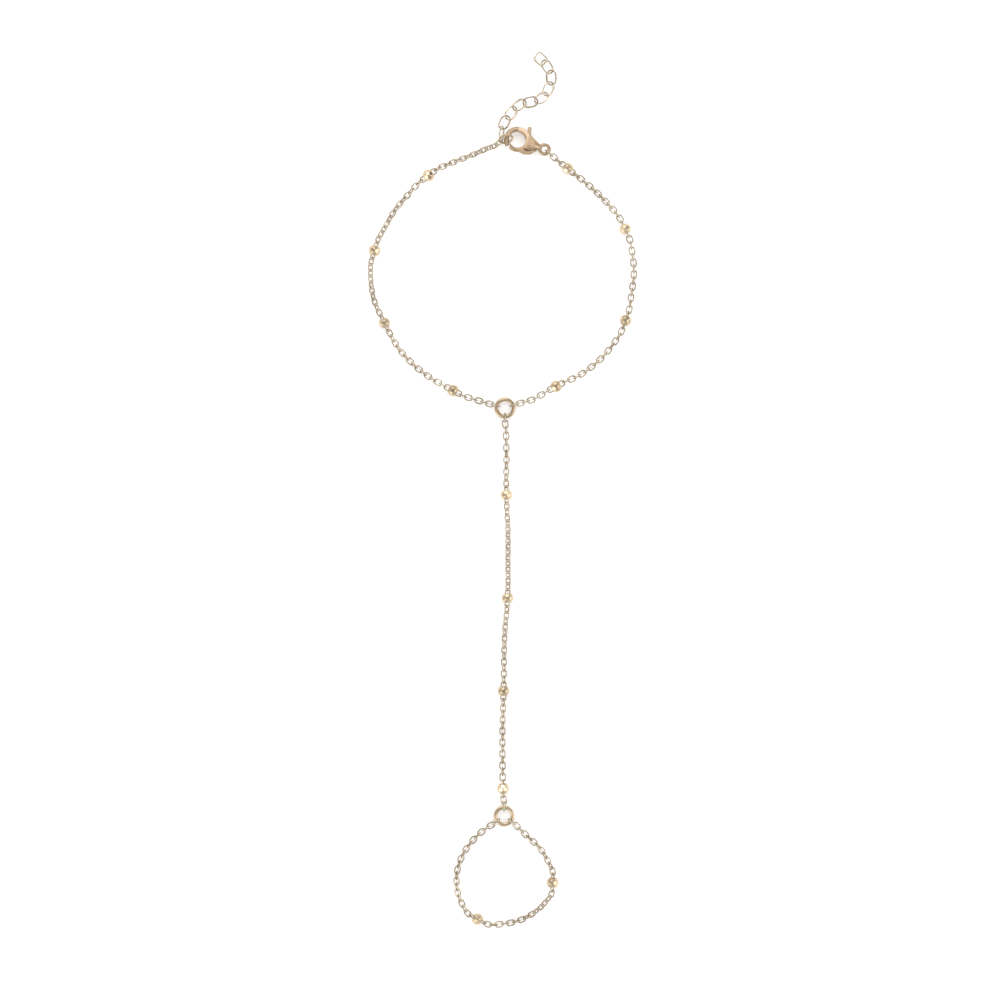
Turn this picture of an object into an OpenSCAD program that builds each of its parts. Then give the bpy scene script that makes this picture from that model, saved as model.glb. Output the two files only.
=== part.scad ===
/* [Small chain links] */
// Length of a small link over its ends
link_l = 1.92; // [1.8:0.02:2.1]
// Width of a small link over its legs
link_w = 1.4; // [1.3:0.02:1.6]
// Wire of the small links
link_wire = 0.3; // [0.26:0.01:0.32]
// Play between one link and whatever it hooks
link_play = 0.12; // [0.1:0.01:0.16]

/* [End links] */
// Wire of the larger links that go round a ring
end_wire = 0.34; // [0.28:0.01:0.4]
// Lengthwise play of an end link between its ring and the next link
end_play = 0.42; // [0.36:0.02:0.5]
// Side play of an end link on the ring that it goes round
end_side_play = 0.12; // [0.1:0.01:0.2]

/* [Beads] */
// Diameter of a round bead
bead_d = 2.4; // [2.2:0.05:2.8]
// Diameter of the mouth at each end of a bead
bead_mouth_d = 1.5; // [1.2:0.05:1.6]
// Depth of a bead's mouth below its rim
bead_mouth_depth = 0.25; // [0.1:0.05:0.35]
// How far the soldered link stands out of a bead
bead_eye_reach = 0.88; // [0.86:0.02:1.1]

/* [Junction rings] */
// Outer diameter of the two junction rings
ring_d = 4.25; // [4:0.05:4.6]
// Wire of the two junction rings
ring_wire = 0.8; // [0.6:0.02:0.9]

/* [Catch ring] */
// Outer diameter of the small ring that the claw holds
catch_d = 3.1; // [3:0.05:3.3]
// Wire of the small ring that the claw holds
catch_wire = 0.42; // [0.36:0.01:0.46]
// Lean of that ring away from square to the claw
catch_lean = 32; // [26:1:34]
// How far that ring is drawn outwards from the middle of the claw's wire
catch_draw = 0.15; // [0:0.05:0.2]

/* [Extender] */
// Length of an extender link over its ends
ext_l = 3.25; // [3.2:0.05:3.4]
// Width of an extender link over its legs
ext_w = 2.5; // [2.4:0.05:2.6]
// Wire of the extender links
ext_wire = 0.32; // [0.28:0.01:0.34]
// Play between one extender link and the next
ext_play = 0.2; // [0.16:0.02:0.24]
// Lean of the extender links, one way and then the other
ext_lean = 32; // [30:1:36]
// Length of the bent end link
tail_l = 2.6; // [2.4:0.1:3]
// Width of the bent end link
tail_w = 2.5; // [2.2:0.1:2.8]
// Radius of the bent end link's corners
tail_corner_r = 0.45; // [0.3:0.05:0.5]

/* [Clasp body] */
// Diameter across the claw
claw_d = 5.4; // [5.2:0.1:5.8]
// Thickness of the claw
claw_wire = 1.02; // [0.9:0.02:1.1]
// Thickness of the body over its cheeks
cheek_t = 2.2; // [2.1:0.05:2.6]
// How far the cheeks reach down to the gate side
cheek_y = 1.4; // [1.35:0.05:1.6]
// Distance from the middle of the claw to the middle of the eye
eye_x = 5.75; // [5.6:0.05:6.4]
// Outer diameter of the eye
eye_d = 2.62; // [2.5:0.02:2.8]
// Wire of the eye
eye_wire = 0.72; // [0.6:0.02:0.76]
// Radius at the small end of the body
neck_r = 0.75; // [0.65:0.05:0.85]
// How far the body's small end stops short of the eye's hole
neck_inset = 0.12; // [0.1:0.01:0.2]
// Room between the eye's wire and the link that goes round it
eye_play = 0.14; // [0.12:0.01:0.18]

/* [Clasp lever] */
// Place of the pin along the clasp, from the middle of the claw
pin_x = 2.7; // [2.6:0.05:2.8]
// Place of the pin towards the gate side
pin_y = 0.9; // [0.8:0.05:1]
// Diameter of the pin
pin_d = 0.5; // [0.4:0.02:0.56]
// Gap round the pin in the body
pin_gap = 0.01; // [0.01:0.005:0.03]
// Gap round the pin in the lever
lever_bore_gap = 0.03; // [0.02:0.005:0.06]
// Diameter of the lever's round hub
hub_d = 2.4; // [2.3:0.05:2.5]
// Thickness of the lever
lever_t = 0.86; // [0.82:0.02:0.9]
// Gap between the lever and the slot, on each face
slot_gap = 0.12; // [0.1:0.01:0.16]
// Diameter of the gate's round arm
gate_wire = 0.9; // [0.8:0.02:0.92]
// How far the gate's arm lies inside the line of the claw's wire
gate_inset = 0.18; // [0.15:0.01:0.25]
// Gap between the gate and the claw's tip
gate_gap = 0.08; // [0.06:0.01:0.14]
// Width of the lever's thumb stem
stem_w = 0.7; // [0.5:0.02:0.76]
// Diameter of the thumb knob
knob_d = 0.9; // [0.84:0.02:1]
// How far the knob's middle stands out from the middle of the clasp
knob_y = 3; // [2.9:0.05:3.3]
// How far the knob lies back from the pin, towards the claw
knob_back = 1.1; // [0.9:0.05:1.3]
// How far the lever opens
lever_open = 7; // [6:0.5:7]

/* [Hidden] */
$fn = 24;
WRIST_BEADS = 8;
HAND_BEADS = 4;
FINGER_BEADS = 2;

chain_gold = [0.78, 0.70, 0.56];
bead_gold = [0.88, 0.77, 0.54];
clasp_gold = [0.80, 0.67, 0.52];

// Routes on the table, in millimetres. Columns: across, along, 1 where a bead sits, and a bead's climb.
wrist_left_route = [
  [-5.1, 17.8, 0], [-9.8, 19.7, 1], [-16.3, 23.7, 0], [-20.2, 27.5, 0], [-23.5, 33.2, 1],
  [-25.8, 38.6, 0], [-26.3, 43.2, 0], [-25.5, 47.7, 1], [-23.6, 52, 0], [-21.4, 55.8, 0],
  [-18.5, 59.2, 0], [-14.7, 62.7, 1], [-10.6, 65, 0], [-5.8, 66.9, 0], [-3, 68.1, 0]];
wrist_right_route = [
  [6.4, 18, 0], [10.8, 20.5, 1], [15.6, 22.8, 0], [19.7, 26, 0], [22.7, 29.6, 0],
  [24.7, 33.7, 1], [25.8, 38.4, 0], [26.4, 43.2, 0], [26, 47.6, 0], [24.6, 52, 1],
  [22.1, 56, 0], [19.3, 59, 0], [16.3, 61.6, 0], [13.1, 64.1, 1]];
hand_route = [
  [0.8, 12, 0], [0.9, 6, 0], [0.9, -1.2, 1], [1.2, -8, 0], [1.2, -15, 0], [1.1, -21.8, 1],
  [0.6, -28, 0], [0.4, -34, 0], [0.3, -40.4, 1], [0.1, -47, 0], [0.1, -53, 0], [0.2, -59.9, 1, -7]];
finger_route = [
  [-3.6, -68.2, 0], [-6.1, -70.6, 0], [-8, -73.5, 0], [-9, -76.8, 0], [-8.9, -80.4, 0],
  [-7.8, -83.4, 0], [-4.9, -86, 1], [-1, -87.1, 0], [3.2, -86.4, 0], [6.8, -84.5, 0],
  [9.3, -81.9, 0], [10.1, -78.7, 1], [9.6, -75.2, 0], [7.6, -71.9, 0], [5.2, -69.6, 0], [3.4, -67.9, 0]];
extender_route = [
  [0.68, 73.66, 0], [2, 75.35, 0], [3.85, 77.09, 0], [5.89, 77.45, 0], [8, 78.3, 0],
  [9.32, 80.08, 0], [9.87, 82.32, 0], [9.11, 84.35, 0]];
tail_at = [7.7, 86];

// Middles of the two junction rings
wrist_ring_at = [0.6, 16.2];
finger_ring_at = [0.4, -65.4];
// Where chains leave a ring, as directions from its middle
wrist_ring_left = 165;
wrist_ring_right = 18;
finger_ring_left = 216;
finger_ring_right = 323;
// Middle of the claw, turn of the clasp on the table, and its roll, gate side up
clasp_at = [3.06, 69.74];
clasp_turn = -19;
clasp_roll = -10;
// Where the catch ring sits on the claw, its swing away from the claw's middle, and the eye's chain
catch_on_claw = 194;
catch_swing = 17.5;
eye_chain_dir = -40;
// Where the wrist chain hooks the catch ring, its heading there and its roll
catch_left_turn = 23;
catch_left_dir = 37.5;
catch_left_roll = 40.5;
// Where the extender hooks the catch ring, its heading there, its climb and its roll
catch_ext_turn = -48.3;
extender_dir = 78.4;
extender_climb = -25;
extender_roll = 68.3;
tail_dir = 138;
// Middle of the whole outline on the table, which becomes the origin
OUTLINE_MIDDLE = [0.12, -0.17];
// Clearance under what lies lowest
table_gap = 0.02;
// Length over which a chain comes down from a bead to the table
sag_run = 6;
// Twist of each chain at its start and at each bead
wrist_left_twist = [90, 90, 120, 140, 110];
wrist_right_twist = [90, 90, 75, 90, 105];
hand_twist = [90, 55, 40, 25, 10];
finger_twist = [90, 60, 150];

// Steps of the routes' smooth curve between two points
CURVE_STEPS = 10;
// Share of a link by which a stretch may be longer than its links
STRETCH_SLACK = 0.001;

// Link sizes. Columns: length, width, wire, play.
small_link = [link_l, link_w, link_wire, link_play];
end_link = [ring_wire + link_wire + end_play + 2 * end_wire,
            ring_wire + 2 * end_side_play + 2 * end_wire, end_wire, link_play];
ext_link = [ext_l, ext_w, ext_wire, ext_play];

// Heights
bead_z = bead_d / 2;
ring_z = end_link[1] / 2 + table_gap;
low_z = link_w / 2 + table_gap;
ext_low_z = (ext_w - ext_wire) / 2 * sin(ext_lean) + ext_wire / 2 + table_gap;

// Depth by which one rounded surface lies under the next
skin = 0.03;

// Directions from the middle of the claw: its wire's start and end, its tip at the gate, and the gate's root
claw_start_dir = 75;
claw_end_dir = 230;
claw_tip_dir = 222;
gate_root_dir = 300;
// Extra turn of the gate's arm past the tip, where its round end is cut, and into the lever's plate
gate_tip_lap = 8;
gate_root_lap = 4;
// Width of the lever's plate at the gate's root, and where its inner edge leaves the hub
gate_root_w = 0.88;
hub_claw_dir = 180;
// Outer corners of the lever's plate, from its heel back along the body
plate_corners = [[2.12, -2.34], [2.8, -2.08], [3.42, -1.7], [3.95, -1.24], [4.34, -0.8]];
// Front, upper and back edges of the lever's slot on the gate side
slot_front_x = 0.5;
slot_upper_y = -0.3;
slot_back = [4.5, -0.65];
// Lower edge of the cheeks, and its corner at the claw's opening
cheek_edge_x = [1.8, 3.4];
cheek_corner = [1.66, -0.4];
// The gate's room in the claw starts this far towards the gate side
gate_room_y = -0.6;
// The body thins towards the claw between these two places, down to the thin end
blank_thin_x = -1.6;
blank_full_x = 1.9;
blank_thin_t = 0.3;
// Where the outline of the pear starts on the claw, and its steps
head_start_dir = 155;
HEAD_STEPS = 9;
NECK_STEPS = 4;

// Clasp sizes that follow from the others
claw_r = claw_d / 2;
claw_mid_r = claw_r - claw_wire / 2;
claw_in_r = claw_r - claw_wire;
head_r = claw_r - skin;
neck_x = eye_x - eye_d / 2 + eye_wire - neck_r - neck_inset;
taper = asin((head_r - neck_r) / neck_x);
flank_y = sqrt(head_r * head_r - cheek_t * cheek_t / 4);
clasp_z = flank_y * sin(-clasp_roll) + cheek_t / 2 * cos(clasp_roll) + table_gap;
slot_t = lever_t + 2 * slot_gap;
pin_at = [pin_x, -pin_y];
// How far the gate reaches from the pin to meet the claw's tip
gate_reach = norm(claw_in_r * toward(claw_tip_dir) - pin_at) - gate_gap;
gate_mid_r = claw_mid_r - gate_inset;
knob_at = [pin_x - knob_back, knob_y];
stem_dir = atan2(knob_at[1] - pin_at[1], knob_at[0] - pin_at[0]);
stem_l = norm(knob_at - pin_at);

// Small vector helpers
function unit(v) = v / norm(v);
function toward(angle) = [cos(angle), sin(angle)];
function xy(p) = [p[0], p[1]];
function half_step(link) = link[0] / 2 - link[2] - link[3] / 2;
function nearest_half_turn(a) = a - 180 * round(a / 180);

// A smooth curve through points, with a heading at each of them
function blend_point(p, m, q, n, t) =
  (2 * t * t * t - 3 * t * t + 1) * p + (t * t * t - 2 * t * t + t) * m
  + (3 * t * t - 2 * t * t * t) * q + (t * t * t - t * t) * n;
function headings(pts, first, last) =
  [for (k = [0:len(pts) - 1])
    k == 0 ? first : k == len(pts) - 1 ? last : unit(pts[k + 1] - pts[k - 1])];
function curve(pts, dirs) =
  [for (k = [0:len(pts) - 2]) let (s = norm(pts[k + 1] - pts[k]))
    each [for (j = [0:CURVE_STEPS - 1])
      blend_point(pts[k], dirs[k] * s, pts[k + 1], dirs[k + 1] * s, j / CURVE_STEPS)],
   pts[len(pts) - 1]];
function running_length(c) =
  [for (i = 0, s = 0; i < len(c); s = s + (i + 1 < len(c) ? norm(c[i + 1] - c[i]) : 0), i = i + 1) s];

// Stretches of a chain. A chain is a list:
// [route with its two ends, start heading, end heading, start reach, end reach, link, low height]
function bead_rows(route) = [for (i = [1:len(route) - 2]) if (route[i][2] == 1) i];
function station_rows(route) = concat([0], bead_rows(route), [len(route) - 1]);
bead_reach = bead_d / 2 + bead_eye_reach - link_wire - link_play / 2;
function station_heading(c, i) =
  i == 0 ? toward(c[1]) : i == len(c[0]) - 1 ? toward(c[2])
  : unit(xy(c[0][i + 1]) - xy(c[0][i - 1]));
function station_climb(c, i) = is_undef(c[0][i][3]) ? 0 : c[0][i][3];
function eye_z(c, i, side) = bead_z + side * bead_reach * sin(station_climb(c, i));
function station_reach(c, i) = i == 0 ? c[3] : i == len(c[0]) - 1 ? c[4] : bead_reach;

// One stretch between two stations: [across table, along table, length, count of links, pitch]
function stretch(c, a, b) =
  let (da = station_heading(c, a), db = station_heading(c, b),
       pts = [xy(c[0][a]) + station_reach(c, a) * da,
              for (i = [a + 1:1:b - 1]) xy(c[0][i]),
              xy(c[0][b]) - station_reach(c, b) * db],
       line = curve(pts, headings(pts, da, db)),
       run = running_length(line),
       total = run[len(run) - 1],
       count = ceil(total / (2 * half_step(c[5])) - STRETCH_SLACK))
  [[for (i = [0:len(line) - 1]) [run[i], line[i][0]]],
   [for (i = [0:len(line) - 1]) [run[i], line[i][1]]],
   total, count, total / count];
function stretches(c) =
  let (st = station_rows(c[0])) [for (j = [0:len(st) - 2]) stretch(c, st[j], st[j + 1])];

// Height along a stretch that comes down from one end and rises to the other
function fall(x) = x >= 1 ? 0 : (1 - x) * (1 - x) * (1 + 2 * x);
function height(s, total, za, zb, low) =
  let (run = min(sag_run, total))
  low + (za - low) * fall(s / run) + (zb - low) * fall((total - s) / run);

function links_before(parts, j) = j == 0 ? 0 : links_before(parts, j - 1) + parts[j - 1][3] + 1;
function twist_at(c, parts, twist, end_roll, j) =
  j < len(twist) ? twist[j]
  : twist[j - 1] + nearest_half_turn(end_roll - 90 * links_before(parts, j) - twist[j - 1]);

// Placed links. Columns: place, heading, climb, roll, link size.
function stretch_links(c, part, za, zb, twist_a, twist_b, first) =
  let (total = part[2], pitch = part[4], probe = pitch / 3)
  [for (i = [0:part[3] - 1])
    let (s = (i + 0.5) * pitch,
         dx = lookup(s + probe, part[0]) - lookup(s - probe, part[0]),
         dy = lookup(s + probe, part[1]) - lookup(s - probe, part[1]),
         dz = height(s + probe, total, za, zb, c[6]) - height(s - probe, total, za, zb, c[6]))
    [[lookup(s, part[0]), lookup(s, part[1]), height(s, total, za, zb, c[6])],
     atan2(dy, dx), atan2(dz, 2 * probe),
     twist_a + (twist_b - twist_a) * s / total + 90 * (first + i + 1), c[5]]];
function chain_links(c, parts, twist, end_roll, start_z, end_z) =
  let (last = len(parts) - 1, rows = bead_rows(c[0]))
  [for (j = [0:last])
    each stretch_links(c, parts[j],
      j == 0 ? start_z : eye_z(c, rows[j - 1], 1), j == last ? end_z : eye_z(c, rows[j], -1),
      twist_at(c, parts, twist, end_roll, j), twist_at(c, parts, twist, end_roll, j + 1),
      links_before(parts, j))];
// Placed beads. Columns: place, heading, climb, roll.
function chain_beads(c, parts, twist) =
  let (rows = bead_rows(c[0]))
  [for (j = [0:len(rows) - 1])
    let (h = station_heading(c, rows[j]))
    [[c[0][rows[j]][0], c[0][rows[j]][1], bead_z], atan2(h[1], h[0]), station_climb(c, rows[j]),
     twist[j + 1] + 90 * links_before(parts, j + 1)]];

// A link that goes round a wire at a chain's end, placed along a heading from that wire
function hooking_shift(link, wire) = half_step(link) - wire / 2 - link[3] / 2;
function hooking_reach(link, wire) = 2 * half_step(link) - wire / 2 - link[3] / 2;
function hooking_link(at, z, heading, roll, link, wire, climb = 0) =
  let (s = hooking_shift(link, wire), p = at + s * cos(climb) * toward(heading))
  [[p[0], p[1], z + s * sin(climb)], heading, climb, roll, link];

// Points on the rings where chains hook on
ring_mid_r = (ring_d - ring_wire) / 2;
catch_mid_r = (catch_d - catch_wire) / 2;
function on_ring(middle, angle) = middle + ring_mid_r * toward(angle);
function clasp_point(x, y) =
  [clasp_at[0] + x * cos(clasp_turn) - y * cos(clasp_roll) * sin(clasp_turn),
   clasp_at[1] + x * sin(clasp_turn) + y * cos(clasp_roll) * cos(clasp_turn),
   clasp_z + y * sin(clasp_roll)];
catch_hold_r = claw_mid_r + catch_draw;
catch_at = clasp_point(catch_hold_r * cos(catch_on_claw), catch_hold_r * sin(catch_on_claw));
catch_out = catch_on_claw + clasp_turn + catch_swing;
function on_catch(turn) =
  let (out = toward(catch_out), side = toward(catch_out + 90))
  [catch_at[0] + catch_mid_r * (cos(turn) * out[0] + sin(turn) * sin(catch_lean) * side[0]),
   catch_at[1] + catch_mid_r * (cos(turn) * out[1] + sin(turn) * sin(catch_lean) * side[1]),
   catch_at[2] - catch_mid_r * sin(turn) * cos(catch_lean)];
eye_mid_r = (eye_d - eye_wire) / 2;
eye_hook = clasp_point(eye_x + eye_mid_r * cos(eye_chain_dir - clasp_turn),
                       eye_mid_r * sin(eye_chain_dir - clasp_turn));
eye_hook_wire = eye_wire + 2 * (eye_play - link_play);
left_hook = on_catch(catch_left_turn);
ext_hook = on_catch(catch_ext_turn);
ext_hook_reach = hooking_reach(ext_link, catch_wire);
ext_start_z = ext_hook[2] + ext_hook_reach * sin(extender_climb);

// The chains
wrist_left = [
  concat([on_ring(wrist_ring_at, wrist_ring_left)], wrist_left_route, [xy(left_hook)]),
  wrist_ring_left, catch_left_dir,
  hooking_reach(end_link, ring_wire), hooking_reach(small_link, catch_wire), small_link, low_z];
wrist_right = [
  concat([on_ring(wrist_ring_at, wrist_ring_right)], wrist_right_route, [xy(eye_hook)]),
  wrist_ring_right, eye_chain_dir + 180,
  hooking_reach(end_link, ring_wire), hooking_reach(end_link, eye_hook_wire), small_link, low_z];
hand = [
  concat([on_ring(wrist_ring_at, 270)], hand_route, [on_ring(finger_ring_at, 90)]),
  270, 270,
  hooking_reach(end_link, ring_wire), hooking_reach(end_link, ring_wire), small_link, low_z];
finger = [
  concat([on_ring(finger_ring_at, finger_ring_left)], finger_route,
         [on_ring(finger_ring_at, finger_ring_right)]),
  finger_ring_left, finger_ring_right + 180,
  hooking_reach(end_link, ring_wire), hooking_reach(end_link, ring_wire), small_link, low_z];
extender = [
  concat([xy(ext_hook)], extender_route, [tail_at]),
  extender_dir, tail_dir,
  ext_hook_reach * cos(extender_climb), tail_l / 2 - ext_wire - ext_play / 2, ext_link, ext_low_z];

wrist_left_parts = stretches(wrist_left);
wrist_right_parts = stretches(wrist_right);
hand_parts = stretches(hand);
finger_parts = stretches(finger);
extender_parts = stretches(extender);

wrist_left_beads = chain_beads(wrist_left, wrist_left_parts, wrist_left_twist);
wrist_right_beads = chain_beads(wrist_right, wrist_right_parts, wrist_right_twist);
wrist_bead_places = concat(wrist_left_beads, wrist_right_beads);
hand_bead_places = chain_beads(hand, hand_parts, hand_twist);
finger_bead_places = chain_beads(finger, finger_parts, finger_twist);

module centred() {
  translate([-OUTLINE_MIDDLE[0], -OUTLINE_MIDDLE[1], 0]) children();
}

module placed(row) {
  translate(row[0]) rotate([row[3], -row[2], row[1]]) children();
}

// Oval link: two half rings joined by two straight legs
module oval_link(size) {
  bend_r = (size[1] - size[2]) / 2;
  leg = (size[0] - size[1]) / 2;
  for (side = [-1, 1]) {
    translate([side * leg, 0, 0]) rotate([0, 0, side * 90 - 180])
      rotate_extrude(angle = 180) translate([bend_r, 0]) circle(d = size[2]);
    translate([-leg, side * bend_r, 0]) rotate([0, 90, 0]) cylinder(d = size[2], h = 2 * leg);
  }
}

module link_rows(rows) {
  for (row = rows) placed(row) oval_link(row[4]);
}

module round_ring(outer_d, wire) {
  rotate_extrude() translate([(outer_d - wire) / 2, 0]) circle(d = wire);
}

module wrist_chain_left() {
  color(chain_gold) centred() {
    link_rows([hooking_link(xy(wrist_left[0][0]), ring_z, wrist_ring_left, 90, end_link, ring_wire)]);
    link_rows(chain_links(wrist_left, wrist_left_parts, wrist_left_twist, -catch_left_roll,
                          ring_z, left_hook[2]));
    link_rows([hooking_link(xy(left_hook), left_hook[2], catch_left_dir + 180, catch_left_roll,
                            small_link, catch_wire)]);
  }
}

module wrist_chain_right() {
  color(chain_gold) centred() {
    link_rows([hooking_link(xy(wrist_right[0][0]), ring_z, wrist_ring_right, 90, end_link, ring_wire)]);
    link_rows(chain_links(wrist_right, wrist_right_parts, wrist_right_twist, 90,
                          ring_z, eye_hook[2]));
    link_rows([hooking_link(xy(eye_hook), eye_hook[2], eye_chain_dir, 90, end_link, eye_hook_wire)]);
  }
}

module hand_chain() {
  color(chain_gold) centred() {
    link_rows([hooking_link(xy(hand[0][0]), ring_z, 270, 90, end_link, ring_wire)]);
    link_rows(chain_links(hand, hand_parts, hand_twist, 90, ring_z, ring_z));
    link_rows([hooking_link(on_ring(finger_ring_at, 90), ring_z, 90, 90, end_link, ring_wire)]);
  }
}

module finger_chain() {
  color(chain_gold) centred() {
    link_rows([hooking_link(xy(finger[0][0]), ring_z, finger_ring_left, 90, end_link, ring_wire)]);
    link_rows(chain_links(finger, finger_parts, finger_twist, 90, ring_z, ring_z));
    link_rows([hooking_link(on_ring(finger_ring_at, finger_ring_right), ring_z, finger_ring_right,
                            90, end_link, ring_wire)]);
  }
}

// Extender links lean one way and the other, so that they pass through each other nearly flat
function lean_of(i) = (i % 2 == 0 ? 1 : -1) * ext_lean;
function extender_rows() =
  let (rows = chain_links(extender, extender_parts, [0], 0, ext_start_z, ext_low_z))
  concat(
    [hooking_link(xy(ext_hook), ext_hook[2], extender_dir, extender_roll, ext_link, catch_wire,
                  extender_climb)],
    [for (i = [0:len(rows) - 1])
      [rows[i][0], rows[i][1], rows[i][2], lean_of(i + 1), rows[i][4]]]);

// Link with four rounded corners
module cornered_link(l, w, corner_r, wire) {
  x = (l - wire) / 2 - corner_r;
  y = (w - wire) / 2 - corner_r;
  for (q = [0:3]) {
    side_x = (q == 0 || q == 3) ? 1 : -1;
    side_y = q < 2 ? 1 : -1;
    translate([side_x * x, side_y * y, 0]) rotate([0, 0, q * 90])
      rotate_extrude(angle = 90) translate([corner_r, 0]) circle(d = wire);
  }
  for (side = [-1, 1]) {
    translate([-x, side * (y + corner_r), 0]) rotate([0, 90, 0]) cylinder(d = wire, h = 2 * x);
    translate([side * (x + corner_r), y, 0]) rotate([90, 0, 0]) cylinder(d = wire, h = 2 * y);
  }
}

module extender_chain() {
  rows = extender_rows();
  color(chain_gold) centred() {
    link_rows(rows);
    translate([tail_at[0], tail_at[1], ext_low_z]) rotate([0, 0, tail_dir])
      rotate([lean_of(len(rows)), 0, 0]) cornered_link(tail_l, tail_w, tail_corner_r, ext_wire);
  }
}

// Round bead with a mouth at each end and the link that is soldered through it
module bead(row) {
  rim = sqrt(bead_d * bead_d - bead_mouth_d * bead_mouth_d) / 2;
  color(bead_gold) centred() placed(row) {
    difference() {
      rotate([0, 90, 0]) sphere(d = bead_d, $fn = 48);
      for (side = [0, 180]) rotate([0, 0, side]) translate([rim - bead_mouth_depth, 0, 0])
        rotate([0, 90, 0]) cylinder(d = bead_mouth_d, h = bead_d);
    }
    oval_link([bead_d + 2 * bead_eye_reach, link_w, link_wire]);
  }
}

module wrist_ring() {
  color(chain_gold) centred() translate([wrist_ring_at[0], wrist_ring_at[1], ring_z])
    round_ring(ring_d, ring_wire, $fn = 64);
}

module finger_ring() {
  color(chain_gold) centred() translate([finger_ring_at[0], finger_ring_at[1], ring_z])
    round_ring(ring_d, ring_wire, $fn = 64);
}

module catch_ring() {
  color(chain_gold) centred() translate(catch_at) rotate([0, 0, catch_out]) rotate([catch_lean - 90, 0, 0])
    round_ring(catch_d, catch_wire, $fn = 48);
}

// The clasp is modelled flat, its claw round the origin and its eye along +X, then laid in place
module clasp_placed() {
  translate([clasp_at[0], clasp_at[1], clasp_z]) rotate([0, 0, clasp_turn])
    rotate([clasp_roll, 0, 0]) children();
}

// Half outline of the pear shape: along the clasp, and out from its middle line
function arc_points(middle_x, r, from_dir, to_dir, steps) =
  [for (i = [0:steps]) let (a = from_dir + (to_dir - from_dir) * i / steps)
    [middle_x + r * cos(a), r * sin(a)]];
pear_outline = concat(
  [[head_r * cos(head_start_dir), 0]],
  arc_points(0, head_r, head_start_dir, 90 - taper, HEAD_STEPS),
  arc_points(neck_x, neck_r, 90 - taper, 0, NECK_STEPS));

// Pear shaped body, flattened by its cheeks and thinned towards the claw
module clasp_blank() {
  intersection() {
    rotate([90, 0, 90]) rotate_extrude($fn = 64)
      polygon([for (q = pear_outline) [q[1], q[0]]]);
    rotate([90, 0, 0]) translate([0, 0, -claw_d / 2]) linear_extrude(claw_d)
      polygon([
        [blank_thin_x, -blank_thin_t / 2], [blank_full_x, -cheek_t / 2], [eye_x, -cheek_t / 2],
        [eye_x, cheek_t / 2], [blank_full_x, cheek_t / 2], [blank_thin_x, blank_thin_t / 2]]);
  }
}

// What the gate side of the body leaves open
module gate_opening() {
  translate([0, 0, -cheek_t]) linear_extrude(2 * cheek_t)
    polygon([
      [0, 0], [-claw_d, 0], [-claw_d, -claw_d], [eye_x, -claw_d],
      [cheek_edge_x[1], -cheek_y], [cheek_edge_x[0], -cheek_y], cheek_corner]);
}

// Space for the lever between the cheeks, closed and open
module lever_slot() {
  side = stem_w / 2 + slot_gap;
  reach = stem_l + knob_d;
  open_dir = stem_dir - lever_open;
  translate([0, 0, -slot_t / 2]) linear_extrude(slot_t) {
    translate(pin_at) circle(d = hub_d + 2 * slot_gap, $fn = 64);
    polygon([
      [pin_x, slot_upper_y], [slot_front_x, slot_upper_y], [slot_front_x, -claw_d],
      [slot_back[0], -claw_d], slot_back, [pin_x, slot_back[1]]]);
    translate(pin_at) polygon([
      side * toward(stem_dir + 90), side * toward(stem_dir + 90) + reach * toward(stem_dir),
      side * toward(open_dir - 90) + reach * toward(open_dir), side * toward(open_dir - 90)]);
  }
}

module clasp_body() {
  color(clasp_gold) centred() clasp_placed() {
    difference() {
      union() {
        difference() {
          clasp_blank();
          cylinder(r = claw_in_r + skin, h = 2 * cheek_t, center = true, $fn = 64);
          gate_opening();
        }
        rotate([0, 0, claw_start_dir])
          rotate_extrude(angle = claw_end_dir - claw_start_dir, $fn = 96)
            translate([claw_mid_r, 0]) circle(d = claw_wire);
        translate([eye_x, 0, 0]) round_ring(eye_d, eye_wire, $fn = 48);
      }
      intersection() {
        translate([pin_at[0], pin_at[1], -cheek_t])
          cylinder(r = gate_reach + gate_gap, h = 2 * cheek_t, $fn = 96);
        cylinder(r = gate_mid_r + gate_wire / 2 + gate_gap, h = cheek_t, center = true, $fn = 96);
        translate([-claw_d, -claw_d, -cheek_t])
          cube([claw_d, claw_d + gate_room_y, 2 * cheek_t]);
      }
      lever_slot();
      translate([pin_at[0], pin_at[1], -cheek_t])
        cylinder(d = pin_d + 2 * pin_gap, h = 2 * cheek_t, $fn = 32);
    }
  }
}

module clasp_lever() {
  root = gate_root_dir - gate_root_lap;
  color(clasp_gold) centred() clasp_placed() {
    difference() {
      union() {
        intersection() {
          rotate([0, 0, claw_tip_dir - gate_tip_lap])
            rotate_extrude(angle = gate_root_dir - claw_tip_dir + gate_tip_lap, $fn = 96)
              translate([gate_mid_r, 0]) circle(d = gate_wire);
          translate([pin_at[0], pin_at[1], -cheek_t])
            cylinder(r = gate_reach, h = 2 * cheek_t, $fn = 96);
        }
        translate([0, 0, -lever_t / 2]) linear_extrude(lever_t) {
          translate(pin_at) circle(d = hub_d, $fn = 64);
          polygon(concat(
            [(gate_mid_r - gate_root_w / 2) * toward(root),
             (gate_mid_r + gate_root_w / 2) * toward(root)],
            plate_corners, [pin_at, pin_at + hub_d / 2 * toward(hub_claw_dir)]));
          translate(pin_at) rotate([0, 0, stem_dir]) translate([0, -stem_w / 2])
            square([stem_l, stem_w]);
        }
        translate([knob_at[0], knob_at[1], 0]) sphere(d = knob_d, $fn = 32);
      }
      translate([pin_at[0], pin_at[1], -cheek_t])
        cylinder(d = pin_d + 2 * lever_bore_gap, h = 2 * cheek_t, $fn = 32);
    }
  }
}

module clasp_pin() {
  color(clasp_gold) centred() clasp_placed()
    translate([pin_at[0], pin_at[1], -cheek_t / 2]) cylinder(d = pin_d, h = cheek_t, $fn = 32);
}

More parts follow.
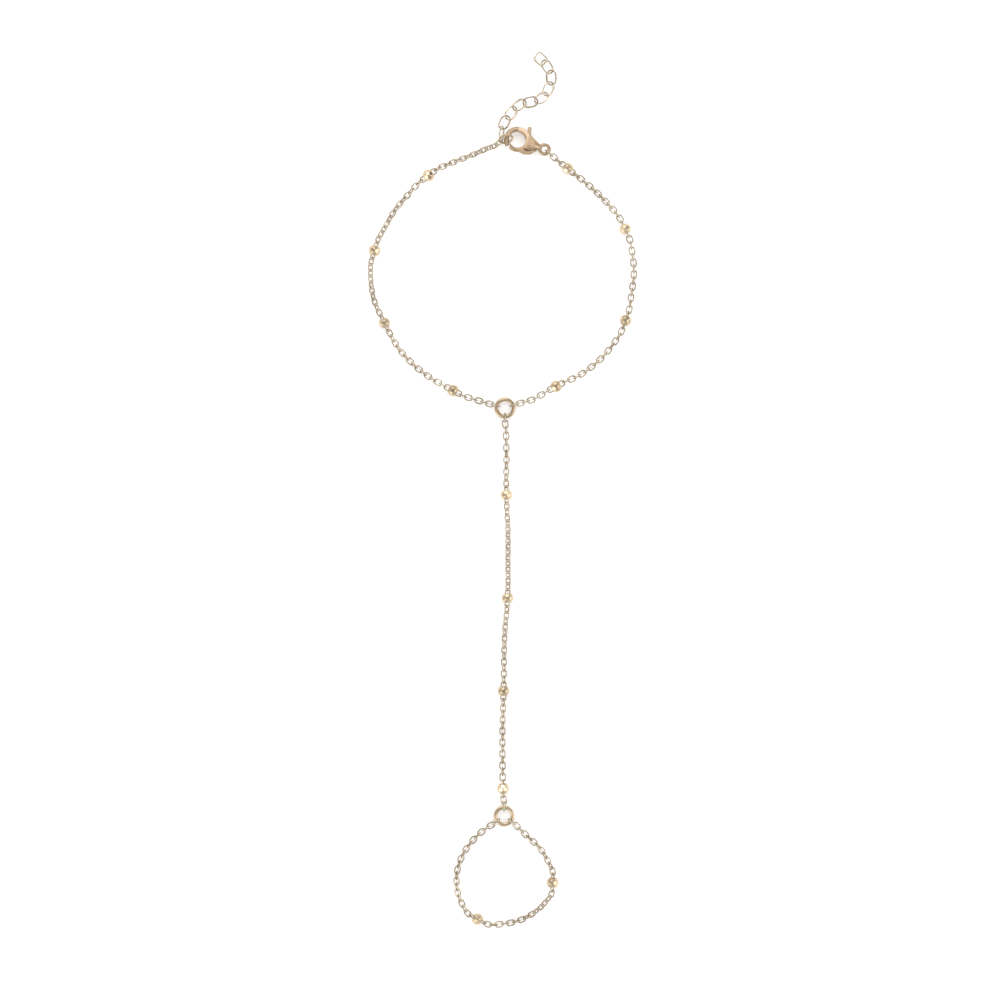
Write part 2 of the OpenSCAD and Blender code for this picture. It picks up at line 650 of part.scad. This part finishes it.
wrist_chain_left();
wrist_chain_right();
hand_chain();
finger_chain();
extender_chain();
wrist_ring();
finger_ring();
catch_ring();
clasp_body();
clasp_lever();
clasp_pin();
for (i = [1:WRIST_BEADS])
  bead(wrist_bead_places[i - 1]);
for (i = [1:HAND_BEADS])
  bead(hand_bead_places[i - 1]);
for (i = [1:FINGER_BEADS])
  bead(finger_bead_places[i - 1]);
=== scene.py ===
import math

import bpy
import bmesh
import numpy as np
from mathutils import Matrix, Vector


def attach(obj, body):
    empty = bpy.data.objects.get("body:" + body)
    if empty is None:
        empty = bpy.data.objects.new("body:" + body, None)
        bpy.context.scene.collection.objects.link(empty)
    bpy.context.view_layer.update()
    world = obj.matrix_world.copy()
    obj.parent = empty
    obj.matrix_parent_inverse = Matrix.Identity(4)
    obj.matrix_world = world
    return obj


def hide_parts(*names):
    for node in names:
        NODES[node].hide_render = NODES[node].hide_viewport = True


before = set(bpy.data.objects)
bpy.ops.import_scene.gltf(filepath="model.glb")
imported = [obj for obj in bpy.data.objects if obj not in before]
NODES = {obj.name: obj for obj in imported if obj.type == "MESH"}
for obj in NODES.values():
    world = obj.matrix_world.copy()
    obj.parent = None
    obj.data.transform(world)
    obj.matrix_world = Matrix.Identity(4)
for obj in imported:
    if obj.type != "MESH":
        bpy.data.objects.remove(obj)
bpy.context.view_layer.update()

# A hand chain bracelet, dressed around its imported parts. Lengths named in mm are turned to metres by MM.
MM = 0.001
SEED = 7
BODY = "bracelet"
LEVER_BODY = "lever"
CHAINS = ["wrist_chain_left", "wrist_chain_right", "hand_chain", "finger_chain", "extender_chain"]
RINGS = ["wrist_ring", "finger_ring", "catch_ring"]
CLASP = {"clasp_body": BODY, "clasp_lever": LEVER_BODY, "clasp_pin": BODY}
BEADS = sorted(name for name in NODES if "_bead_" in name)

# Points this close are one point, in a CAD mesh and along a line
WELD_REACH = 1e-8
SAME_POINT = 1e-9

# A part's own axes point along this, and a round ring's seam lies this way
LEAN = np.array([0.64, 0.70, 0.31])

# Wire of the links and rings. The end link is nearly as wide as it is long, and has tighter corners.
WIRE_SIDES = 12
BEND_STEPS = 14
LEG_STEPS = 6
END_LINK_SLACK = 0.3 * MM
END_LINK_CORNER = 0.45 * MM
SEAM_HALF_WIDTH = 0.03 * MM
SEAM_DEPTH = 0.12

# Beads, cut with rows of small flats. Each row has the flats' angle from the hole, their number, the angle
# of the first one round the hole, and half the angle that a flat takes, in degrees. A flat cuts only the
# side that faces it.
BEAD_R = 1.2 * MM
BEAD_ROUND = 72
BEAD_RISE = 44
FLAT_ROWS = [(58, 8, 0.0, 19), (90, 8, 22.5, 19), (122, 8, 0.0, 19)]
FLAT_FACING = 0.3

# A bead's mouth, from the middle of its floor out to its lip: depth below the rim, and radius
MOUTH_R = 0.75 * MM
MOUTH_LIP = 0.07 * MM
MOUTH_DEPTH = 0.55 * MM
BORE_R = MOUTH_R - MOUTH_LIP
MOUTH_PROFILE = [
    (MOUTH_DEPTH, 0.02 * MM),
    (MOUTH_DEPTH, 0.8 * BORE_R),
    (MOUTH_DEPTH - 0.08 * MM, BORE_R),
    (1.5 * MOUTH_LIP, BORE_R),
    (0.5 * MOUTH_LIP, MOUTH_R - 0.9 * MOUTH_LIP),
    (0.05 * MOUTH_LIP, MOUTH_R - 0.5 * MOUTH_LIP)]

# The link soldered through a bead. Beyond this share of the bead's radius there is only the link.
CORE_WIRE = 0.3 * MM
CORE_W = 1.4 * MM
CORE_REACH = 0.88 * MM
BEYOND_BEAD = 1.04

# Clasp, cast and tumbled: remeshing its solids and smoothing them rounds their edges. Both sizes are in mm.
CAST_WELD = 0.0005
CAST_VOXEL = 0.05
CAST_SMOOTHING = 0.5
CAST_PASSES = 12

# Golds: pale and deep tone, roughness, grain in waves to a metre, strength of the grain's relief, and tint
# of the painted shade in corners
GOLDS = {
    "chain_gold": ((0.58, 0.505, 0.395), (0.38, 0.305, 0.212), 0.24, 9000, 0.25, (0.40, 0.30, 0.20)),
    "ring_gold": ((0.60, 0.475, 0.32), (0.45, 0.34, 0.215), 0.30, 7000, 0.25, (0.38, 0.29, 0.19)),
    "bead_gold": ((0.69, 0.56, 0.39), (0.54, 0.42, 0.275), 0.22, 9000, 0.15, (0.36, 0.25, 0.15)),
    "clasp_gold": ((0.53, 0.39, 0.265), (0.43, 0.31, 0.20), 0.38, 14000, 0.35, (0.36, 0.24, 0.14))}

# What all golds share: the clouds of tone and how much each link adds of its own, where on the ramps the
# deep and pale tones and the painted shade in corners and the unshaded metal lie, and the grain
CLOUD_SCALE = 260
CLOUD_DETAIL = 4
TONE_SHARE = 0.35
DEEP_AT, PALE_AT = 0.35, 0.85
# Painted shade in corners: darkest at the first place on its ramp, gone at the second, found within this
# reach and with these samples
PAINTED_SHADE_AT, UNSHADED_AT = 0.15, 0.75
PAINTED_SHADE_REACH = 0.5 * MM
PAINTED_SHADE_SAMPLES = 8
GRAIN_DETAIL = 3
GRAIN_HEIGHT = 0.02 * MM
SMOOTH_SHARE, ROUGH_SHARE = 0.7, 1.3

# Floor, faintly lit from below
FLOOR_SIZE = 4.0
FLOOR_GREY = 0.93
FLOOR_ROUGHNESS = 0.9
FLOOR_GLOW = 0.3

# Room: its grey from the horizon (0) to straight overhead (1). The dark cards on it are patches of a noise
# pattern, and show from a little over the horizon up.
ROOM_GREYS = [(0.0, 0.70), (0.25, 0.72), (0.5, 0.75), (0.86, 0.68),
              (0.95, 0.50), (0.985, 0.45), (0.995, 0.28)]
CARD_SCALE = 2.4
CARD_GREYS = [(0.30, 0.10), (0.36, 1.0)]
CARDS_ABOVE = [(0.2, 0.0), (0.3, 1.0)]

# Each soft box has its place, its side and its power. All face the middle of the table.
SOFT_BOXES = {
    "box_back": ((-0.08, 0.44, 0.42), 0.40, 1.3),
    "box_right": ((0.44, -0.06, 0.38), 0.40, 1.1),
    "box_left": ((-0.36, -0.32, 0.34), 0.40, 1.1)}

# Camera. The picture's plane lies a little over the floor, and has 0.2 mm to a pixel.
VIEW_WIDTH = 200 * MM
VIEW_MIDDLE = (-0.52 * MM, -2.03 * MM)
VIEW_HEIGHT = 1.0 * MM
LENS = 150
SENSOR_WIDTH = 36
NEAR, FAR = 0.01, 20


def area_moments(corners):
    """Centre of a surface, from its triangles' corners, and its axes in order of how far it spreads."""
    a, b, c = corners[:, 0], corners[:, 1], corners[:, 2]
    area = np.linalg.norm(np.cross(b - a, c - a), axis=1) / 2
    middle = (a + b + c) / 3
    centre = (middle * area[:, None]).sum(0) / area.sum()
    spread = np.zeros((3, 3))
    # A flat triangle's spread is a twelfth of these four shares, so that its size doesn't matter
    for points, share in ((a, 1), (b, 1), (c, 1), (middle, 9)):
        d = points - centre
        spread += share / 12 * (d * area[:, None]).T @ d
    axes = np.linalg.eigh(spread)[1][:, ::-1]
    axes = axes * np.where(LEAN @ axes < 0, -1, 1)
    axes[:, 2] = np.cross(axes[:, 0], axes[:, 1])
    return centre, axes


def loose_parts(node):
    """The triangles of each separate solid in a CAD node, as arrays of corner points."""
    bm = bmesh.new()
    bm.from_mesh(NODES[node].data)
    bmesh.ops.remove_doubles(bm, verts=bm.verts, dist=WELD_REACH)
    bmesh.ops.triangulate(bm, faces=bm.faces)
    seen, parts = set(), []
    for start in bm.verts:
        if start in seen:
            continue
        seen.add(start)
        stack, faces = [start], {}
        while stack:
            vert = stack.pop()
            faces.update(dict.fromkeys(vert.link_faces))
            for edge in vert.link_edges:
                other = edge.other_vert(vert)
                if other not in seen:
                    seen.add(other)
                    stack.append(other)
        if faces:
            parts.append(np.array([[v.co[:] for v in f.verts] for f in faces]))
    bm.free()
    return parts


def extents(corners, centre, axes):
    """Size of a part along its own axes."""
    local = (corners.reshape(-1, 3) - centre) @ axes
    return local.max(0) - local.min(0)


def placed(verts, centre, axes):
    """Points in a part's own axes, moved to where the part is."""
    return verts @ axes.T + centre


def loop_line(half_x, half_y, corner):
    """Closed line round a rounded rectangle: its points, and the outward direction at each."""
    middles = [np.array([sx * (half_x - corner), sy * (half_y - corner), 0])
               for sx, sy in ((1, 1), (-1, 1), (-1, -1), (1, -1))]
    points, outward = [], []
    for k, middle in enumerate(middles):
        for i in range(BEND_STEPS + 1):
            a = math.radians(90 * (k + i / BEND_STEPS))
            out = np.array([math.cos(a), math.sin(a), 0])
            points.append(middle + corner * out)
            outward.append(out)
        here, there = points[-1], middles[(k + 1) % 4] + corner * out
        if np.linalg.norm(there - here) > SAME_POINT:
            for i in range(1, LEG_STEPS):
                points.append(here + (there - here) * i / LEG_STEPS)
                outward.append(out)
    keep = [i for i in range(len(points)) if np.linalg.norm(points[i] - points[i - 1]) > SAME_POINT]
    return np.array(points)[keep], np.array(outward)[keep]


def skin(rings, sides, closed):
    """Faces between each ring of points and the next, and between the last and the first where closed."""
    return [(i * sides + j, (i + 1) % rings * sides + j,
             (i + 1) % rings * sides + (j + 1) % sides, i * sides + (j + 1) % sides)
            for i in range(rings if closed else rings - 1) for j in range(sides)]


def wire_loop(length, width, wire, corner=None, seam=False):
    """Vertices and faces of a closed wire loop, lying flat with its length along X."""
    corner = (width - wire) / 2 if corner is None else corner
    line, outward = loop_line((length - wire) / 2, (width - wire) / 2, corner)
    turn = np.arange(WIRE_SIDES) * 2 * math.pi / WIRE_SIDES
    up = np.array([0, 0, 1])
    radius = np.full(len(line), wire / 2)
    if seam:
        gap = np.abs(line[:, 0]) / SEAM_HALF_WIDTH
        radius = radius * np.where(line[:, 1] > 0, 1 - SEAM_DEPTH * np.exp(-gap * gap), 1)
    rings = (line[:, None, :] + radius[:, None, None] *
             (np.cos(turn)[None, :, None] * outward[:, None, :] + np.sin(turn)[None, :, None] * up))
    return rings.reshape(-1, 3), skin(len(line), WIRE_SIDES, closed=True)


def mesh_piece(name, chunks, mats, replaced, body):
    """One smooth mesh piece from chunks of vertices, faces, tone and which material. Points keep the tone."""
    verts, faces, tones, skins, start = [], [], [], [], 0
    for v, f, tone, which in chunks:
        verts.append(v)
        faces += [tuple(start + i for i in face) for face in f]
        tones += [tone] * len(v)
        skins += [which] * len(f)
        start += len(v)
    mesh = bpy.data.meshes.new(name)
    mesh.from_pydata(np.vstack(verts).tolist(), [], faces)
    for mat in mats:
        mesh.materials.append(mat)
    mesh.polygons.foreach_set("material_index", skins)
    mesh.polygons.foreach_set("use_smooth", [True] * len(mesh.polygons))
    mesh.attributes.new("tone", "FLOAT", "POINT").data.foreach_set("value", np.array(tones, np.float32))
    mesh.update()
    obj = bpy.data.objects.new(name, mesh)
    bpy.context.scene.collection.objects.link(obj)
    bm = bmesh.new()
    bm.from_mesh(mesh)
    bmesh.ops.recalc_face_normals(bm, faces=bm.faces)
    bm.to_mesh(mesh)
    bm.free()
    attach(obj, body)
    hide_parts(*replaced)


def fine_chain(node, mat, rng):
    """The node's links again in smooth round wire, each in its own place."""
    chunks = []
    for corners in loose_parts(node):
        centre, axes = area_moments(corners)
        length, width, wire = extents(corners, centre, axes)
        corner = END_LINK_CORNER if length - width < END_LINK_SLACK else None
        verts, faces = wire_loop(length, width, wire, corner, seam=True)
        chunks.append((placed(verts, centre, axes), faces, rng.random(), 0))
    mesh_piece(node + "_wire", chunks, [mat], [node], BODY)


def fine_ring(node, mat, rng):
    """A round ring of smooth wire with a fine closed seam."""
    corners = loose_parts(node)[0]
    centre, axes = area_moments(corners)
    normal = axes[:, 2]
    across = np.cross(LEAN, normal)
    across /= np.linalg.norm(across)
    axes = np.stack([across, np.cross(normal, across), normal], 1)
    size = extents(corners, centre, axes)
    verts, faces = wire_loop(size[0], size[0], size[2], seam=True)
    chunks = [(placed(verts, centre, axes), faces, rng.random(), 0)]
    mesh_piece(node + "_wire", chunks, [mat], [node], BODY)


def flat_normals():
    """Directions of a bead's small flats, its hole along X, and how far each lies from the middle."""
    rows = []
    for polar, count, start, half_angle in FLAT_ROWS:
        for k in range(count):
            p, a = math.radians(polar), math.radians(start + 360 * k / count)
            rows.append([math.cos(p), math.sin(p) * math.cos(a), math.sin(p) * math.sin(a),
                         BEAD_R * math.cos(math.radians(half_angle))])
    flats = np.array(rows)
    return flats[:, :3], flats[:, 3]


def bead_shell():
    """A round bead with cut flats, its hole along X, and a mouth at each end of the hole."""
    normals, offsets = flat_normals()
    first = math.asin(MOUTH_R / BEAD_R)
    rim_x = BEAD_R * math.cos(first)
    turn = np.arange(BEAD_ROUND) * 2 * math.pi / BEAD_ROUND
    round_x = np.stack([np.zeros(BEAD_ROUND), np.cos(turn), np.sin(turn)], 1)
    mouth = [r * round_x + [rim_x - depth, 0, 0] for depth, r in MOUTH_PROFILE]
    ball = []
    for i in range(BEAD_RISE + 1):
        p = first + (math.pi - 2 * first) * i / BEAD_RISE
        d = math.sin(p) * round_x + [math.cos(p), 0, 0]
        facing = d @ normals.T
        reach = np.where(facing > FLAT_FACING, offsets / np.maximum(facing, FLAT_FACING), BEAD_R).min(1)
        ball.append(d * np.minimum(BEAD_R, reach)[:, None])
    rings = mouth + ball + [ring * [-1, 1, 1] for ring in mouth[::-1]]
    last = (len(rings) - 1) * BEAD_ROUND
    floors = [tuple(range(BEAD_ROUND)), tuple(range(last, last + BEAD_ROUND))[::-1]]
    return np.vstack(rings), skin(len(rings), BEAD_ROUND, closed=False) + floors


def bead_frame(node):
    """Middle and axes of a bead, from its link's two ends: the hole's axis, then the link's width."""
    corners = np.vstack(loose_parts(node))
    points = corners.reshape(-1, 3)
    centre = (points.max(0) + points.min(0)) / 2
    beyond = np.linalg.norm(corners.mean(1) - centre, axis=1) > BEAD_R * BEYOND_BEAD
    return area_moments(corners[beyond])


def fine_bead(node, mats, rng):
    """A cut bead, turned at random about its hole, with the soldered link through it."""
    centre, axes = bead_frame(node)
    spin = rng.random() * 2 * math.pi
    c, s = math.cos(spin), math.sin(spin)
    shell_axes = axes @ np.array([[1, 0, 0], [0, c, -s], [0, s, c]])
    shell, shell_faces = bead_shell()
    core, core_faces = wire_loop(2 * (BEAD_R + CORE_REACH), CORE_W, CORE_WIRE)
    chunks = [(placed(shell, centre, shell_axes), shell_faces, rng.random(), 0),
              (placed(core, centre, axes), core_faces, rng.random(), 1)]
    mesh_piece(node + "_cut", chunks, mats, [node], BODY)


def cast_copy(node, body):
    """A clasp part with the soft edges of a polished casting, from its own solid."""
    mesh = NODES[node].data.copy()
    mesh.transform(Matrix.Scale(1 / MM, 4))
    obj = bpy.data.objects.new(node + "_cast", mesh)
    bpy.context.scene.collection.objects.link(obj)
    weld = obj.modifiers.new("weld", "WELD")
    weld.merge_threshold = CAST_WELD
    remesh = obj.modifiers.new("remesh", "REMESH")
    remesh.mode = "VOXEL"
    remesh.voxel_size = CAST_VOXEL
    smooth = obj.modifiers.new("smooth", "SMOOTH")
    smooth.factor = CAST_SMOOTHING
    smooth.iterations = CAST_PASSES
    dg = bpy.context.evaluated_depsgraph_get()
    final = bpy.data.meshes.new_from_object(obj.evaluated_get(dg))
    obj.modifiers.clear()
    obj.data = final
    final.transform(Matrix.Scale(MM, 4))
    final.name = obj.name
    final.polygons.foreach_set("use_smooth", [True] * len(final.polygons))
    final.update()
    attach(obj, body)
    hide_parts(node)
    return obj


def node_of(tree, kind, inputs=None, **settings):
    """A new shader node with these settings, and these values on its own inputs."""
    made = tree.nodes.new(kind)
    for key, value in settings.items():
        setattr(made, key, value)
    for key, value in (inputs or {}).items():
        made.inputs[key].default_value = value
    return made


def ramp_of(tree, stops):
    """A colour ramp through stops of place and colour, where a single number is a grey."""
    ramp = tree.nodes.new("ShaderNodeValToRGB")
    while len(ramp.color_ramp.elements) < len(stops):
        ramp.color_ramp.elements.new(0.5)
    for element, (place, colour) in zip(ramp.color_ramp.elements, stops):
        element.position = place
        element.color = (*(colour if isinstance(colour, tuple) else (colour,) * 3), 1)
    return ramp


def gold(name, pale, deep, roughness, grain, bump, shade_tint):
    """Plated metal: cloudy change of tone, painted shade darkening its corners, and a fine polished grain."""
    mat = bpy.data.materials.new(name)
    mat.use_nodes = True
    tree = mat.node_tree
    link = tree.links.new
    shader = tree.nodes["Principled BSDF"]
    shader.inputs["Metallic"].default_value = 1.0
    place = node_of(tree, "ShaderNodeTexCoord")

    cloud = node_of(tree, "ShaderNodeTexNoise", {"Scale": CLOUD_SCALE, "Detail": CLOUD_DETAIL})
    tone = node_of(tree, "ShaderNodeAttribute", attribute_name="tone")
    mixed = node_of(tree, "ShaderNodeMath", {1: TONE_SHARE}, operation="MULTIPLY_ADD")
    colours = ramp_of(tree, [(DEEP_AT, deep), (PALE_AT, pale)])
    link(place.outputs["Object"], cloud.inputs["Vector"])
    link(tone.outputs["Fac"], mixed.inputs[0])
    link(cloud.outputs["Fac"], mixed.inputs[2])
    link(mixed.outputs[0], colours.inputs["Fac"])

    # Painted shade: the colour is multiplied darker, towards the given tint, where ambient occlusion finds
    # corners and hollows
    corner = node_of(tree, "ShaderNodeAmbientOcclusion", {"Distance": PAINTED_SHADE_REACH}, samples=PAINTED_SHADE_SAMPLES)
    shade_ramp = ramp_of(tree, [(PAINTED_SHADE_AT, shade_tint), (UNSHADED_AT, (1, 1, 1))])
    shaded_colour = node_of(tree, "ShaderNodeMix", {"Factor": 1.0}, data_type="RGBA", blend_type="MULTIPLY")
    link(corner.outputs["AO"], shade_ramp.inputs["Fac"])
    link(colours.outputs["Color"], shaded_colour.inputs["A"])
    link(shade_ramp.outputs["Color"], shaded_colour.inputs["B"])
    link(shaded_colour.outputs["Result"], shader.inputs["Base Color"])

    fine = node_of(tree, "ShaderNodeTexNoise", {"Scale": grain, "Detail": GRAIN_DETAIL})
    rough = node_of(tree, "ShaderNodeMapRange",
                    {"To Min": roughness * SMOOTH_SHARE, "To Max": roughness * ROUGH_SHARE})
    relief = node_of(tree, "ShaderNodeBump", {"Strength": bump, "Distance": GRAIN_HEIGHT})
    link(place.outputs["Object"], fine.inputs["Vector"])
    link(fine.outputs["Fac"], rough.inputs["Value"])
    link(rough.outputs["Result"], shader.inputs["Roughness"])
    link(fine.outputs["Fac"], relief.inputs["Height"])
    link(relief.outputs["Normal"], shader.inputs["Normal"])
    return mat


def put_on(obj, mat):
    """Make this the object's only material."""
    obj.data.materials.clear()
    obj.data.materials.append(mat)


def pale_floor():
    """A pale sheet that the bracelet lies on, faintly lit from below as a light table is."""
    mesh = bpy.data.meshes.new("floor")
    s = FLOOR_SIZE / 2
    mesh.from_pydata([(-s, -s, 0), (s, -s, 0), (s, s, 0), (-s, s, 0)], [], [(0, 1, 2, 3)])
    floor = bpy.data.objects.new("floor", mesh)
    bpy.context.scene.collection.objects.link(floor)
    mat = bpy.data.materials.new("floor_card")
    mat.use_nodes = True
    shader = mat.node_tree.nodes["Principled BSDF"]
    shader.inputs["Base Color"].default_value = (FLOOR_GREY, FLOOR_GREY, FLOOR_GREY, 1)
    shader.inputs["Roughness"].default_value = FLOOR_ROUGHNESS
    shader.inputs["Emission Color"].default_value = (1, 1, 1, 1)
    shader.inputs["Emission Strength"].default_value = FLOOR_GLOW
    mesh.materials.append(mat)


def studio_world():
    """White room, dimmer straight overhead, with a few dark cards that give the metal its contrast."""
    world = bpy.data.worlds.new("studio")
    bpy.context.scene.world = world
    world.use_nodes = True
    tree = world.node_tree
    link = tree.links.new
    place = node_of(tree, "ShaderNodeTexCoord")
    split = node_of(tree, "ShaderNodeSeparateXYZ")
    height = ramp_of(tree, ROOM_GREYS)
    cards = node_of(tree, "ShaderNodeTexNoise", {"Scale": CARD_SCALE, "Detail": 0})
    dark = ramp_of(tree, CARD_GREYS)
    above = ramp_of(tree, CARDS_ABOVE)
    lit = node_of(tree, "ShaderNodeMix", data_type="RGBA", blend_type="MULTIPLY")
    link(place.outputs["Generated"], split.inputs[0])
    link(split.outputs["Z"], height.inputs["Fac"])
    link(place.outputs["Generated"], cards.inputs["Vector"])
    link(cards.outputs["Fac"], dark.inputs["Fac"])
    link(split.outputs["Z"], above.inputs["Fac"])
    link(above.outputs["Color"], lit.inputs["Factor"])
    link(height.outputs["Color"], lit.inputs["A"])
    link(dark.outputs["Color"], lit.inputs["B"])
    link(lit.outputs["Result"], tree.nodes["Background"].inputs["Color"])


def soft_light(name, place, size, power):
    """A square soft box that faces the middle of the table."""
    data = bpy.data.lights.new(name, "AREA")
    data.shape = "SQUARE"
    data.size = size
    data.energy = power
    light = bpy.data.objects.new(name, data)
    light.location = place
    light.rotation_euler = (-Vector(place)).to_track_quat("-Z", "Y").to_euler()
    bpy.context.scene.collection.objects.link(light)


def photo_camera():
    """Straight down, from far enough for a long lens."""
    data = bpy.data.cameras.new("camera")
    data.lens = LENS
    data.sensor_width = SENSOR_WIDTH
    data.clip_start = NEAR
    data.clip_end = FAR
    cam = bpy.data.objects.new("camera", data)
    cam.location = (*VIEW_MIDDLE, VIEW_HEIGHT + VIEW_WIDTH * LENS / SENSOR_WIDTH)
    bpy.context.scene.collection.objects.link(cam)
    bpy.context.scene.camera = cam


photo_camera()
pale_floor()
studio_world()
for name, (place, size, power) in SOFT_BOXES.items():
    soft_light(name, place, size, power)
bpy.context.scene.view_settings.view_transform = "Standard"

golds = {name: gold(name, *looks) for name, looks in GOLDS.items()}
rng = np.random.default_rng(SEED)
for name in CHAINS:
    fine_chain(name, golds["chain_gold"], rng)
for name in RINGS:
    fine_ring(name, golds["ring_gold"], rng)
for name in BEADS:
    fine_bead(name, [golds["bead_gold"], golds["chain_gold"]], rng)
for name, body in CLASP.items():
    put_on(cast_copy(name, body), golds["clasp_gold"])
for node in NODES.values():
    put_on(node, golds["chain_gold"])
